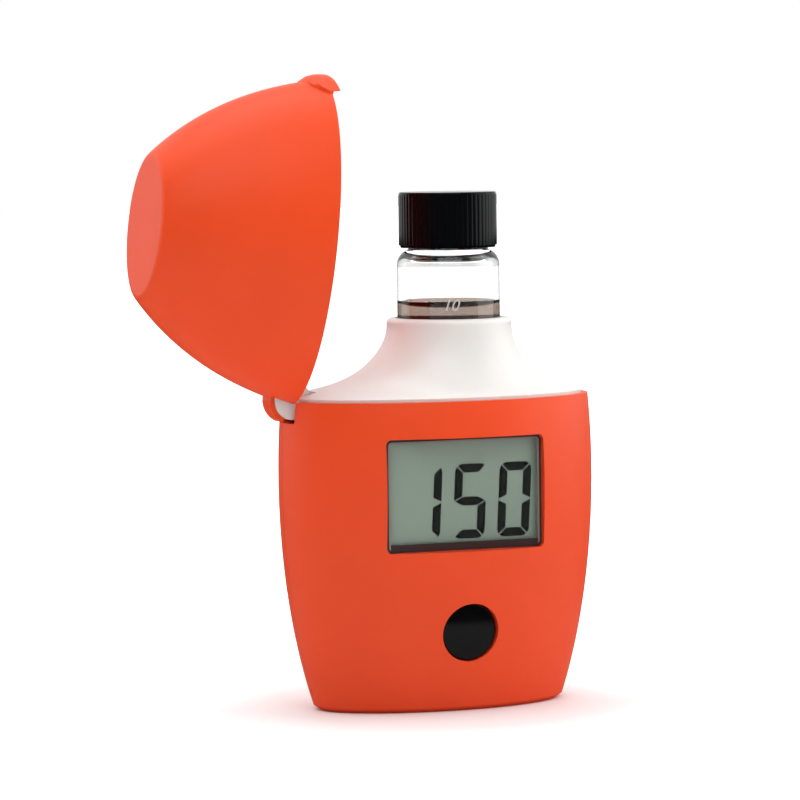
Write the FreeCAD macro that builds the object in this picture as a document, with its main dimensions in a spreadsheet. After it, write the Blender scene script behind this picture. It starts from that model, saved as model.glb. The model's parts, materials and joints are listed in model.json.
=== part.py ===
"""Pocket colorimeter with a sample vial, lid open.

Frame: origin at the centre of the flat base, +X to the right along the width,
+Y away from the display, +Z up. Sizes are in millimetres.
"""
import FreeCAD, Part
import math
import os
import Sketcher

V = FreeCAD.Vector
doc = FreeCAD.newDocument("colorimeter")
sheet = doc.addObject("Spreadsheet::Sheet", "sizes")


class Size:
    """A value together with the expression that gives it from the sheet."""

    def __init__(self, value, text):
        self.value = value
        self.text = text

    def _join(self, other, sign, flip=False):
        other = as_size(other)
        left, right = (other, self) if flip else (self, other)
        results = {
            "+": lambda: left.value + right.value,
            "-": lambda: left.value - right.value,
            "*": lambda: left.value * right.value,
            "/": lambda: left.value / right.value,
        }
        return Size(results[sign](), f"({left.text} {sign} {right.text})")

    def __add__(self, other):
        return self._join(other, "+")

    def __radd__(self, other):
        return self._join(other, "+", True)

    def __sub__(self, other):
        return self._join(other, "-")

    def __rsub__(self, other):
        return self._join(other, "-", True)

    def __mul__(self, other):
        return self._join(other, "*")

    def __rmul__(self, other):
        return self._join(other, "*", True)

    def __truediv__(self, other):
        return self._join(other, "/")

    def __neg__(self):
        return 0 - self


def as_size(number):
    return number if isinstance(number, Size) else Size(float(number), f"{float(number)!r}")


SIZES = {
    # outer form of the housing: half width and half depth at five heights
    "seam_height": 55.74,
    "base_half_width": 23.53,
    "base_half_depth": 12.0,
    "low_half_width": 27.15,
    "low_half_depth": 15.75,
    "mid_half_width": 29.03,
    "mid_half_depth": 17.85,
    "high_half_width": 29.6,
    "high_half_depth": 18.55,
    "seam_half_width": 29.09,
    "seam_half_depth": 16.86,
    "wall": 2.1,
    "base_edge": 0.9,
    "shell_gap": 0.1,
    # white deck and collar
    "deck_inset": 1.1,
    "deck_clearance": 0.1,
    "deck_step": 3.0,
    "deck_rise": 0.56,
    "collar_top": 69.9,
    "collar_radius": 11.4,
    "collar_lip": 0.9,
    "collar_wall": 1.5,
    # lid, drawn closed and then swung open
    "lid_rise": 30.06,
    "lid_gap": 0.2,
    "lid_wall": 1.5,
    "lid_rebate": 0.7,
    "lid_quarter_width": 27.09,
    "lid_half_width": 24.07,
    "lid_upper_width": 19.55,
    "lid_top_width": 12.75,
    "lid_quarter_depth": 16.3,
    "lid_half_depth": 15.2,
    "lid_upper_depth": 13.4,
    "lid_top_depth": 9.8,
    "lid_edge_radius": 1.6,
    "lid_open": 83.27,
    # hinge
    "hinge_back": 28.17,
    "hinge_rise": 0.24,
    "barrel_radius": 3.45,
    "barrel_half_length": 2.2,
    "hook_clearance": 0.08,
    "hook_wall": 0.7,
    "notch_half_width": 3.9,
    "notch_depth": 3.84,
    # latch tab
    "tab_half_width": 4.0,
    "tab_reach": 2.4,
    "tab_wall": 1.1,
    "tab_clearance": 0.35,
    # vial and what stands in it
    "vial_offset": 2.75,
    "vial_base": 24.5,
    "vial_radius": 9.27,
    "glass_wall": 0.85,
    "glass_base": 1.5,
    "shoulder_low": 79.4,
    "shoulder_high": 82.2,
    "shoulder_round": 2.9,
    "vial_heel": 0.8,
    "neck_radius": 7.3,
    "neck_bore": 6.15,
    "neck_top": 90.9,
    "liquid_level": 70.4,
    "meniscus": 2.6,
    "film": 0.05,
    "cap_radius": 8.87,
    "cap_bottom": 82.5,
    "cap_height": 10.0,
    "cap_edge": 0.6,
    "rib_depth": 0.3,
    "rib_width": 0.5,
    "rib_count": 60,
    "liner_thickness": 0.6,
    # well, sprung floor and optics
    "well_clearance": 0.3,
    "well_wall": 0.75,
    "well_floor": 6.4,
    "floor_thickness": 1.2,
    "pedestal_radius": 7.0,
    "seat_thickness": 1.2,
    "spring_radius": 6.6,
    "spring_wire": 0.5,
    "spring_turns": 4.0,
    "light_height": 35.0,
    "light_angle": 28.0,
    "window_radius": 1.6,
    "boss_radius": 3.0,
    "led_radius": 1.5,
    "led_length": 5.0,
    "led_flange": 0.8,
    "led_brim": 0.35,
    "filter_radius": 2.5,
    "filter_thickness": 1.0,
    "photodiode_side": 4.0,
    "photodiode_thickness": 1.2,
    "detector_board_side": 6.4,
    "board_thickness": 0.8,
    # display and front board
    "display_offset": 0.7,
    "display_drop": 16.49,
    "window_width": 29.9,
    "window_tall": 20.2,
    "window_corner": 1.0,
    "window_face": 14.9,
    "window_flange": 0.6,
    "window_margin": 0.9,
    "seat_face": 13.9,
    "fit_gap": 0.15,
    "frame_lip": 0.4,
    "frame_border": 0.9,
    "lcd_thickness": 1.1,
    "lcd_wide": 30.4,
    "lcd_tall": 20.6,
    "zebra_thickness": 0.6,
    "zebra_width": 1.4,
    "board_wide": 35.0,
    "board_drop": 5.14,
    "board_step": 25.5,
    "board_foot_wide": 16.0,
    "board_bottom": 10.0,
    "chip_side": 6.0,
    "chip_thickness": 0.9,
    "chip_share": 0.45,
    "chip_drop": 2.7375,
    # button
    "button_height": 14.5,
    "button_radius": 5.11,
    "button_face": 15.3,
    "button_tilt": 5.0,
    "button_gap": 0.22,
    "button_stem": 2.5,
    "button_flange": 5.75,
    "button_flange_wall": 0.6,
    "button_crown": 0.35,
    "button_travel": 0.35,
    "nub_radius": 1.2,
    "dome_radius": 2.8,
    "dome_height": 0.35,
    # battery and its cover
    "battery_offset": 15.8,
    "battery_radius": 5.15,
    "battery_length": 43.3,
    "tip_radius": 1.9,
    "tip_height": 1.2,
    "cell_crimp": 0.45,
    "cell_gap": 0.3,
    "cell_wall": 0.7,
    "cover_radius": 6.0,
    "cover_recess": 0.25,
    "cover_head": 1.2,
    "cover_neck": 5.4,
    "cover_neck_height": 1.5,
    "cover_clearance": 0.08,
    "seal_thickness": 0.3,
    "slot_width": 1.5,
    "slot_length": 8.0,
    "slot_depth": 0.7,
    "cover_boss": 6.9,
    "contact_thickness": 0.3,
    "contact_radius": 4.2,
    # case screws
    "screw_radius": 0.8,
    "screw_head_radius": 1.6,
    "screw_head": 1.0,
    "screw_length": 8.0,
    "post_radius": 2.6,
    "screw_recess": 3.2,
}


def fill_sheet():
    """Writes one row per size and returns the sizes by name."""
    sizes = {}
    for row, (name, value) in enumerate(SIZES.items(), start=1):
        sheet.set(f"A{row}", name)
        sheet.set(f"B{row}", str(value))
        sheet.setAlias(f"B{row}", name)
        sizes[name] = Size(value, f"sizes.{name}")
    doc.recompute()
    return sizes


S = fill_sheet()
PARTS = []


def sub_part(name, shape):
    """Registers a finished object under the name of its file."""
    shape.Label = name
    PARTS.append(shape)
    return shape


def bind(thing, **properties):
    """Binds each property to its expression; a double underscore stands for a dot."""
    for name, size in properties.items():
        size = as_size(size)
        thing.setExpression(name.replace("__", "."), size.text)


def at(thing, x=0, y=0, z=0):
    bind(thing, Placement__Base__x=x, Placement__Base__y=y, Placement__Base__z=z)
    return thing


def turned(thing, axis, angle):
    """Turns an object about an axis of its own; its place is bound apart."""
    thing.Placement = FreeCAD.Placement(V(0, 0, 0), FreeCAD.Rotation(V(*axis), angle))
    return thing


def box(name, low, high):
    made = doc.addObject("Part::Box", name)
    length, width, height = (as_size(b) - as_size(a) for a, b in zip(low, high))
    bind(made, Length=length, Width=width, Height=height)
    return at(made, *low)


def cylinder(name, radius, length, x=0, y=0, z=0, axis="z", sweep=None, start=0):
    """A cylinder from its foot along +Z, +X or +Y, or a sector of one."""
    made = doc.addObject("Part::Cylinder", name)
    bind(made, Radius=radius, Height=length)
    if sweep is not None:
        made.Angle = sweep
    if axis == "x":
        turned(made, (0, 1, 0), 90)
    if axis == "y":
        lay = FreeCAD.Rotation(V(1, 0, 0), -90)
        spin = FreeCAD.Rotation(V(0, 0, 1), start)
        made.Placement = FreeCAD.Placement(V(0, 0, 0), lay.multiply(spin))
    return at(made, x, y, z)


def cut(name, base, *tools):
    made = doc.addObject("Part::Cut", name)
    made.Refine = False
    made.Base = base
    made.Tool = fuse(name + "_tools", *tools) if len(tools) > 1 else tools[0]
    return made


def fuse(name, *shapes):
    made = doc.addObject("Part::MultiFuse", name)
    made.Refine = False
    made.Shapes = list(shapes)
    return made


def held(name, shape):
    """Holds one object so that it can be given a second place."""
    made = doc.addObject("Part::Compound", name)
    made.Links = [shape]
    return made


def common(name, *shapes):
    made = doc.addObject("Part::MultiCommon", name)
    made.Refine = False
    made.Shapes = list(shapes)
    return made


def ellipse(name, half_width, half_depth, x, z):
    made = doc.addObject("Part::Ellipse", name)
    bind(made, MajorRadius=half_width, MinorRadius=half_depth)
    return at(made, x, 0, z)


def loft(name, sections, ruled=False):
    """A solid through level ellipses given as half width, half depth, x and z."""
    made = doc.addObject("Part::Loft", name)
    made.Sections = [ellipse(f"{name}_section", *section) for section in sections]
    made.Solid = True
    made.Ruled = ruled
    return made


def between(sections, level):
    """The section at a level between given ones, on the curve through them all."""
    row = []
    for values in zip(*sections):
        total = as_size(0)
        for i, value in enumerate(values):
            share = math.prod((level - j) / (i - j) for j in range(len(values)) if j != i)
            if share:
                total = total + as_size(value) * share
        row.append(total)
    return row


def banded(name, sections, bands):
    """A loft that follows the curve through its sections in straight bands."""
    steps = [(len(sections) - 1) * i / bands for i in range(bands + 1)]
    return loft(name, [between(sections, step) for step in steps], ruled=True)


def prism(name, half_width, half_depth, low, high):
    """An upright solid over an ellipse."""
    made = doc.addObject("Part::Extrusion", name)
    made.Base = ellipse(f"{name}_section", half_width, half_depth, 0, low)
    made.DirMode = "Custom"
    made.Dir = V(0, 0, 1)
    made.Solid = True
    bind(made, LengthFwd=as_size(high) - low)
    return made


def origin_plane(body, role):
    return next(plane for plane in body.Origin.OriginFeatures if plane.Role == role)


def arc_middle(start, end, radius):
    """The middle of the arc from start to end; a radius under 0 bends to the right."""
    chord = end.sub(start)
    half = chord.Length / 2
    side = V(-chord.y, chord.x, 0).normalize()
    rise = abs(radius) - math.sqrt(max(radius * radius - half * half, 0.0))
    middle = start.add(end).multiply(0.5)
    return middle.sub(side.multiply(rise if radius > 0 else -rise))


def add_outline(sketch, corners):
    """Closed outline of (x, y) corners; a third entry is the radius of the arc that
    leaves the corner, above 0 where it runs anticlockwise."""
    points = [V(as_size(c[0]).value, as_size(c[1]).value, 0) for c in corners]
    ends = []
    for i, corner in enumerate(corners):
        start, end = points[i], points[(i + 1) % len(points)]
        if len(corner) == 3:
            radius = as_size(corner[2])
            middle = arc_middle(start, end, radius.value)
            line = sketch.addGeometry(Part.Arc(start, middle, end), False)
            place = sketch.addConstraint(Sketcher.Constraint("Radius", line, abs(radius.value)))
            sketch.setExpression(f"Constraints[{place}]", f"abs({radius.text})")
            ends.append((line, 1, 2) if radius.value > 0 else (line, 2, 1))
        else:
            line = sketch.addGeometry(Part.LineSegment(start, end), False)
            ends.append((line, 1, 2))
    for i, (line, _, last) in enumerate(ends):
        following, first, _ = ends[(i + 1) % len(ends)]
        sketch.addConstraint(Sketcher.Constraint("Coincident", line, last, following, first))
    for (line, first, _), corner in zip(ends, corners):
        for kind, size in zip(("DistanceX", "DistanceY"), corner[:2]):
            size = as_size(size)
            rule = Sketcher.Constraint(kind, -1, 1, line, first, size.value)
            place = sketch.addConstraint(rule)
            sketch.setExpression(f"Constraints[{place}]", size.text)


def add_sketch(body, role, *outlines):
    sketch = body.newObject("Sketcher::SketchObject", "outline")
    sketch.AttachmentSupport = [(origin_plane(body, role), "")]
    sketch.MapMode = "FlatFace"
    for outline in outlines:
        add_outline(sketch, outline)
    return sketch


def revolved(name, *outlines):
    """A body turned about its own Z axis from an outline of (radius, height)."""
    body = doc.addObject("PartDesign::Body", name)
    turn = body.newObject("PartDesign::Revolution", "turn")
    turn.Profile = add_sketch(body, "XZ_Plane", *outlines)
    turn.ReferenceAxis = (turn.Profile[0], ["V_Axis"])
    turn.Angle = 360
    body.Tip = turn
    return body


def padded(name, role, thickness, *outlines):
    """A body padded from a sketch; on the XZ plane it grows towards -Y."""
    body = doc.addObject("PartDesign::Body", name)
    pad = body.newObject("PartDesign::Pad", "pad")
    pad.Profile = add_sketch(body, role, *outlines)
    bind(pad, Length=thickness)
    body.Tip = pad
    return body


def pocketed(body, role, depth, outline, reverse=False):
    """Cuts an outline into a body and checks that the cut took something away."""
    doc.recompute()
    before = body.Shape.Volume
    pocket = body.newObject("PartDesign::Pocket", "pocket")
    pocket.Profile = add_sketch(body, role, outline)
    bind(pocket, Length=depth)
    pocket.Reversed = reverse
    body.Tip = pocket
    doc.recompute()
    if body.Shape.Volume > before - 1e-3:
        raise RuntimeError(f"{body.Label}: the pocket cuts nothing")
    return body


def crown_radius(half_width, height):
    """Radius of the round crown that stands this high over this half width."""
    return (half_width * half_width + height * height) / (height * 2)


def rectangle(left, low, right, high):
    return [(left, low), (right, low), (right, high), (left, high)]


def rounded(left, low, right, high, radius):
    """A rectangle with round corners, as an outline."""
    return [
        (left + radius, low), (right - radius, low, radius),
        (right, low + radius), (right, high - radius, radius),
        (right - radius, high), (left + radius, high, radius),
        (left, high - radius), (left, low + radius, radius),
    ]


seam = S["seam_height"]
stations = (seam * 0.25, seam * 0.5, seam * 0.77)
deck_width = S["seam_half_width"] - S["deck_inset"]
deck_depth = S["seam_half_depth"] - S["deck_inset"]
deck_foot = seam - S["deck_step"]
hinge_x = -S["hinge_back"]
hinge_z = seam + S["hinge_rise"]
hook_bore = S["barrel_radius"] + S["hook_clearance"]
hook_radius = hook_bore + S["hook_wall"]
vial_bore = S["vial_radius"] + S["well_clearance"]
well_radius = vial_bore + S["well_wall"]
rim_height = seam + S["lid_gap"]
display_height = seam - S["display_drop"]
board_top = seam - S["board_drop"]
chip_height = S["button_height"] + (display_height - S["button_height"]) * S["chip_share"] - S["chip_drop"]
FAR = 80.0
TOUCH = 0.01
INNER_BANDS = 10


def housing_sections(foot, inset, head):
    """Sections of the housing's outer form, or of the same form drawn in by a wall."""
    names = ("base", "low", "mid", "high", "seam")
    heights = (foot, *stations, head)
    return [
        (S[f"{name}_half_width"] - inset, S[f"{name}_half_depth"] - inset, 0, z)
        for name, z in zip(names, heights)
    ]


def edge_broken(kind, name, form, low, high, size):
    """Rounds or bevels the edges of a form that lie between two heights."""
    doc.recompute()
    made = doc.addObject(kind, name)
    made.Base = form
    made.Edges = [
        (i, size.value, size.value) for i, edge in enumerate(form.Shape.Edges, start=1)
        if edge.BoundBox.ZMin > low - TOUCH and edge.BoundBox.ZMax < high + TOUCH
    ]
    return made


SCREWS = (
    (20.6, 12.5),
    (20.6, 45.5),
    (-25.1, 31.0),
)
post_root = S["high_half_depth"]


def screw_column(name, radius, start, end):
    """One round column along Y at each case screw, between two depths."""
    columns = [cylinder(name, radius, end - start, x, start, z, "y") for x, z in SCREWS]
    return fuse(name + "s", *columns)


def housing_shells():
    """Front and rear shells, parted on the middle plane."""
    form = loft("housing_form", housing_sections(0, 0, seam))
    outer = edge_broken("Part::Chamfer", "housing_bevelled", form, 0, 0, S["base_edge"])
    cavity = banded("cavity_form", housing_sections(S["wall"], S["wall"], seam + 1), INNER_BANDS)
    play = S["deck_clearance"]
    rebate = prism("deck_rebate", deck_width + play, deck_depth + play, deck_foot, seam + 1)
    notch = box(
        "hinge_notch",
        (-FAR, -S["notch_half_width"], seam - S["notch_depth"]),
        (hinge_x + hook_radius + S["fit_gap"], S["notch_half_width"], seam + 1),
    )
    battery_x = -S["battery_offset"]
    boss_top = S["cover_recess"] + S["cover_head"] + S["seal_thickness"] + S["cover_neck_height"]
    boss = cylinder("cover_boss", S["cover_boss"], boss_top - S["wall"] / 2, battery_x, 0, S["wall"] / 2)
    head_bore = cylinder(
        "cover_bore", S["cover_radius"] + S["cover_clearance"],
        S["cover_recess"] + S["cover_head"] + S["seal_thickness"] + 1, battery_x, 0, -1,
    )
    neck_bore = cylinder(
        "neck_bore", S["cover_neck"] + S["cover_clearance"], boss_top + 2, battery_x, 0, -1,
    )
    display_x = -S["display_offset"]
    reach = S["window_width"] / 2 + S["window_margin"] + 1
    tall = S["window_tall"] / 2 + S["window_margin"] + 1
    middle = display_height
    seat = box(
        "display_seat",
        (display_x - reach, -S["high_half_depth"] - 1, middle - tall),
        (display_x + reach, -S["seat_face"], middle + tall),
    )
    posts = screw_column("post", S["post_radius"], -post_root, post_root)
    room = cut("housing_room", cut("room_past_seat", cut("room_past_boss", cavity, boss), seat), posts)
    shell = cut("housing_stepped", cut("housing_shell", outer, room), rebate)
    whole = cut("housing_notched", cut("housing_bored", shell, head_bore), notch)
    whole = cut("housing_necked", whole, neck_bore)
    half_gap = S["shell_gap"] / 2
    front_room = box("front_room", (-FAR, -FAR, -1), (FAR, -half_gap, FAR))
    rear_room = box("rear_room", (-FAR, half_gap, -1), (FAR, FAR, FAR))

    opening = padded("display_opening", "XZ_Plane", S["high_half_depth"], rounded(
        display_x - S["window_width"] / 2, middle - S["window_tall"] / 2,
        display_x + S["window_width"] / 2, middle + S["window_tall"] / 2,
        S["window_corner"],
    ))
    at(opening, 0, -S["seat_face"] + 1, 0)
    reach = S["window_width"] / 2 + S["window_margin"] + S["fit_gap"]
    tall = S["window_tall"] / 2 + S["window_margin"] + S["fit_gap"]
    display_room = box(
        "display_room", (display_x - reach, -S["seat_face"], middle - tall),
        (display_x + reach, -S["seat_face"] + 6, middle + tall),
    )
    hole = doc.addObject("Part::Cylinder", "button_hole")
    bind(hole, Radius=S["button_radius"] + S["button_gap"], Height=S["button_stem"] * 4)
    hole.Placement = button_place(-S["button_stem"].value * 2, -90)
    pilots = screw_column("pilot", S["screw_radius"] - 0.1, screw_end() - 0.6, 0)
    front = cut("front_shell", common("front_half", whole, front_room), opening, display_room, hole, pilots)
    sub_part("front_shell", front)

    shanks = screw_column("shank_hole", S["screw_radius"] + 0.15, 0, FAR)
    sinks = fuse("head_sinks", *[
        cylinder("head_sink", S["screw_head_radius"] + 0.15, FAR, x, screw_seat(), z, "y")
        for x, z in SCREWS
    ])
    rear = cut("rear_shell", common("rear_half", whole, rear_room), shanks, sinks)
    sub_part("rear_shell", rear)


def screw_seat():
    """Depth of the face that the screw heads bear on."""
    return S["screw_recess"]


def screw_end():
    """Depth that the tips of the screws reach."""
    return screw_seat() - S["screw_length"]


def case_screws():
    """Three self-tapping screws, entered from the rear."""
    screws = []
    length = S["screw_length"]
    for x, z in SCREWS:
        head = cylinder("screw_head", S["screw_head_radius"], S["screw_head"], x, screw_seat(), z, "y")
        shank = cylinder("screw_shank", S["screw_radius"] - 0.1, length, x, screw_end(), z, "y")
        screws.append(fuse("screw", head, shank))
    sub_part("case_screws", fuse("case_screws", *screws))


def collar():
    """White deck with its flared collar and the hinge barrel."""
    top = S["collar_top"]
    radius = S["collar_radius"]
    x = S["vial_offset"]
    deck_top = seam + S["deck_rise"]
    skirt = prism("skirt", deck_width, deck_depth, deck_foot, deck_top)
    rise = top - deck_top
    flare = loft("flare", [
        (deck_width, deck_depth, 0, deck_top),
        (deck_width * 0.875, deck_depth * 0.935, x * 0.2, deck_top + rise * 0.073),
        (deck_width * 0.66, deck_depth * 0.86, x * 0.6, deck_top + rise * 0.21),
        (radius * 1.31, radius * 1.1, x * 0.8, deck_top + rise * 0.385),
        (radius * 1.02, radius * 1.005, x, deck_top + rise * 0.75),
        (radius, radius * 0.999, x, top),
    ])
    lip = edge_broken("Part::Fillet", "flare_lip", flare, top.value, top.value, S["collar_lip"])
    wall = S["collar_wall"]
    hollow = loft("hollow", [
        (deck_width - wall, deck_depth - wall, 0, deck_foot - 1),
        (deck_width - wall * 1.6, deck_depth - wall * 1.2, 0, deck_top - wall * 0.6),
        (radius * 1.31, radius * 1.04, x * 0.8, deck_top + rise * 0.2),
    ], ruled=True)
    tube = cylinder("bore_wall", vial_bore + wall * 0.7, top - deck_foot, x, 0, deck_foot - 1)
    rooms = cut("deck_rooms", hollow, tube)
    bore = cylinder("vial_bore", vial_bore, FAR, x, 0, deck_foot - 1)
    half = S["barrel_half_length"]
    cheek = S["notch_half_width"] - S["fit_gap"]
    pocket_radius = hook_radius + 0.4
    block = box(
        "hinge_block", (hinge_x + 1.2, -cheek, deck_foot), (hinge_x + pocket_radius + 1.6, cheek, deck_top),
    )
    pocket = cylinder("hook_pocket", pocket_radius, (half + 0.3) * 2, hinge_x, -half - 0.3, hinge_z, "y")
    shell = cut("deck_shell", fuse("deck_solid", skirt, lip), rooms, bore)
    deck = cut("deck_pocketed", fuse("deck_blocked", shell, block), pocket)
    barrel = cylinder("barrel", S["barrel_radius"], half * 2, hinge_x, -half, hinge_z, "y")
    web = box(
        "barrel_web", (hinge_x + 0.9, -half, deck_foot + S["fit_gap"]),
        (hinge_x + pocket_radius + 0.5, half, hinge_z - 2.3),
    )
    sub_part("vial_collar", fuse("vial_collar", deck, fuse("barrel_on_web", barrel, web)))


def lid():
    """Lid shell with its hinge hook and latch tab, swung open about the barrel."""
    names = ("seam", "lid_quarter", "lid_half", "lid_upper", "lid_top")
    widths = [S[name + ("_half_width" if name == "seam" else "_width")] for name in names]
    depths = [S[name + ("_half_depth" if name == "seam" else "_depth")] for name in names]
    rise = S["lid_rise"]
    parts = (0, 0.25, 0.5, 0.75, 1)
    form = loft("lid_form", [(w, d, 0, rim_height + rise * p) for w, d, p in zip(widths, depths, parts)])
    crest = (rim_height + rise).value
    crown = edge_broken("Part::Fillet", "lid_crown", form, crest, crest, S["lid_edge_radius"])
    wall = S["lid_wall"]
    mouth = S["deck_clearance"] * 2
    hollow = banded("lid_hollow", [
        (w - wall, d - wall, 0, rim_height - (1 - p) + (rise - wall) * p)
        for w, d, p in zip(widths, depths, parts)
    ], INNER_BANDS)
    rebate = prism(
        "lid_rebate", deck_width + mouth, deck_depth + mouth, rim_height - 2,
        seam + S["deck_rise"] + S["lid_rebate"],
    )
    half = S["barrel_half_length"]
    room = cylinder("barrel_room", hook_bore, (half + 0.25) * 2, hinge_x, -half - 0.25, hinge_z, "y")
    shell = cut("lid_shell", cut("lid_seated", cut("lid_cup", crown, hollow), rebate), room)
    wrap = 184.0
    wrap_start = 201.0
    outer = cylinder("hook_outer", hook_radius, half * 2, hinge_x, -half, hinge_z, "y", wrap, wrap_start)
    bore = cylinder("hook_bore", hook_bore, half * 2, hinge_x, -half, hinge_z, "y")
    hook = cut("hinge_hook", outer, bore)
    tab = latch_tab()
    closed = fuse("lid_closed", shell, hook, tab)
    made = sub_part("lid", closed)
    swing = FreeCAD.Rotation(V(0, 1, 0), -S["lid_open"].value)
    pivot = V(hinge_x.value, 0, hinge_z.value)
    made.Placement = FreeCAD.Placement(pivot.sub(swing.multVec(pivot)), swing)


def latch_tab():
    """Finger tab that hooks over the right end of the seam."""
    inner = S["seam_half_width"] + S["tab_clearance"]
    outer = inner + S["tab_wall"]
    foot = rim_height - S["tab_reach"]
    root = S["seam_half_width"] - S["lid_wall"] * 0.6
    lip = S["tab_wall"] / 2
    body = padded("latch_tab", "XZ_Plane", S["tab_half_width"] * 2, [
        (root, rim_height + 0.05),
        (inner, rim_height + 0.05),
        (inner, foot + lip, lip * 1.1),
        (outer, foot + lip),
        (outer, rim_height + 0.9, 2.2),
        (root, rim_height + 3.0),
    ])
    return at(body, 0, S["tab_half_width"], 0)


def vial():
    """Glass vial, the sample in it, and its screw cap with a liner."""
    r = S["vial_radius"]
    bore = r - S["glass_wall"]
    foot = S["vial_base"]
    low, high = S["shoulder_low"], S["shoulder_high"]
    heel = S["vial_heel"]
    glass = revolved("vial_glass", [
        (0, foot), (r - heel, foot), (r, foot + heel), (r, low, S["shoulder_round"]),
        (S["neck_radius"], high), (S["neck_radius"], S["neck_top"]),
        (S["neck_bore"], S["neck_top"]), (S["neck_bore"], high - 0.2),
        (bore, low), (bore, foot + S["glass_base"] + heel),
        (bore - heel, foot + S["glass_base"]), (0, foot + S["glass_base"]),
    ])
    sub_part("vial_glass", at(glass, S["vial_offset"]))

    film = S["film"]
    level = S["liquid_level"]
    edge = level + S["meniscus"]
    wet = bore - film
    bottom = foot + S["glass_base"] + film
    liquid = revolved("sample_liquid", [
        (0, bottom), (wet - heel, bottom), (wet, bottom + heel),
        (wet, edge, -crown_radius(wet, S["meniscus"])), (0, level),
    ])
    sub_part("sample_liquid", at(liquid, S["vial_offset"]))

    outer = S["cap_radius"] - S["rib_depth"]
    base, top = S["cap_bottom"], S["cap_bottom"] + S["cap_height"]
    inside = S["neck_radius"] + S["fit_gap"]
    under = S["neck_top"] + S["liner_thickness"]
    bevel = S["cap_edge"]
    cap = revolved("vial_cap", [
        (inside, base), (outer, base), (outer, top - bevel),
        (outer - bevel, top), (0, top), (0, under), (inside, under),
    ])
    rib = cap.newObject("PartDesign::Pad", "rib")
    root = outer - S["rib_depth"] / 2
    foot, crest = S["rib_width"] / 2, S["rib_width"] / 5
    rib.Profile = add_sketch(cap, "XY_Plane", [
        (root, -foot), (S["cap_radius"], -crest), (S["cap_radius"], crest), (root, foot),
    ])
    rib_end = S["cap_edge"] / 2
    start = base + rib_end
    rib.Profile[0].AttachmentOffset = FreeCAD.Placement(V(0, 0, start.value), FreeCAD.Rotation())
    rib.Profile[0].setExpression("AttachmentOffset.Base.z", start.text)
    bind(rib, Length=S["cap_height"] - S["cap_edge"] - rib_end * 2)
    ring = cap.newObject("PartDesign::PolarPattern", "ribs")
    ring.Originals = [rib]
    ring.Axis = (rib.Profile[0], ["N_Axis"])
    ring.Angle = 360
    bind(ring, Occurrences=S["rib_count"])
    cap.Tip = ring
    sub_part("vial_cap", at(cap, S["vial_offset"]))

    liner = revolved("cap_liner", rectangle(0, S["neck_top"], inside - S["fit_gap"], under))
    sub_part("cap_liner", at(liner, S["vial_offset"]))


def on_light_axis(thing):
    """Places a piece drawn with the light path along +X on the real light path."""
    angle = -S["light_angle"].value
    thing.Placement = FreeCAD.Placement(V(0, 0, 0), FreeCAD.Rotation(V(0, 0, 1), angle))
    thing.setExpression("Placement.Rotation.Angle", f"{(-S['light_angle']).text}")
    return at(thing, S["vial_offset"])


def well():
    """Black well that guides the vial, with bosses for the lamp and the detector."""
    floor = S["well_floor"]
    top = deck_foot
    ground = S["wall"]
    seat = floor + S["floor_thickness"]
    tube = revolved("well_tube", [
        (S["pedestal_radius"] - 1, ground), (S["pedestal_radius"], ground),
        (S["pedestal_radius"], floor), (well_radius, floor), (well_radius, top),
        (vial_bore, top), (vial_bore, seat), (0, seat), (0, floor),
        (S["pedestal_radius"] - 1, floor),
    ])
    z = S["light_height"]
    lamp_boss = cylinder("lamp_boss", S["boss_radius"], lamp_end() - vial_bore, vial_bore, 0, z, "x")
    length = detector_face() - vial_bore
    detector_boss = cylinder("detector_boss", S["boss_radius"] + 0.6, length, -detector_face(), 0, z, "x")
    solid = fuse("well_solid", tube, lamp_boss, detector_boss)
    lamp_bore = cylinder("lamp_bore", S["led_radius"] + 0.1, FAR, vial_bore - 1, 0, z, "x")
    detector_window = cylinder("detector_window", S["window_radius"], FAR, -FAR, 0, z, "x")
    pocket = cylinder("filter_pocket", S["filter_radius"] + 0.1, FAR, -filter_seat() - FAR, 0, z, "x")
    inside = cylinder("well_inside", vial_bore, top - seat, 0, 0, seat)
    on_light_axis(sub_part("vial_well", cut(
        "vial_well", solid, lamp_bore, detector_window, pocket, inside)))


def lamp_end():
    return vial_bore + S["led_length"]


def filter_seat():
    """Distance from the vial's axis to the shoulder that the filter lies against."""
    return vial_bore + 0.6


def detector_face():
    """Distance from the vial's axis to the outer end of the detector's boss."""
    return filter_seat() + S["filter_thickness"] + 0.1


def optics():
    """Lamp, colour filter, photodiode and the small board behind it."""
    z = S["light_height"]
    bulb, flange_wall = S["led_radius"], S["led_flange"]
    tip = S["led_length"] - flange_wall
    lamp = revolved("lamp_bulb", [(0, 0), (bulb, 0), (bulb, tip - bulb, bulb), (0, tip)])
    flange = cylinder("lamp_flange", bulb + S["led_brim"], flange_wall, 0, 0, -flange_wall)
    whole = fuse("lamp", lamp, flange)
    whole.Placement = FreeCAD.Placement(V(0, 0, 0), FreeCAD.Rotation(V(0, 1, 0), -90))
    at(whole, lamp_end(), 0, z)
    on_light_axis(sub_part("led_lamp", held("led_placed", whole)))

    disc = cylinder(
        "filter_disc", S["filter_radius"], S["filter_thickness"],
        -filter_seat() - S["filter_thickness"], 0, z, "x",
    )
    on_light_axis(sub_part("colour_filter", held("filter_placed", disc)))

    half = S["photodiode_side"] / 2
    face = detector_face()
    back = face + S["photodiode_thickness"]
    diode = box("diode_block", (-back, -half, z - half), (-face, half, z + half))
    on_light_axis(sub_part("photodiode", held("diode_placed", diode)))

    half = S["detector_board_side"] / 2
    board = box("detector_block", (-back - S["board_thickness"], -half, z - half), (-back, half, z + half))
    on_light_axis(sub_part("detector_board", held("board_placed", board)))


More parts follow.
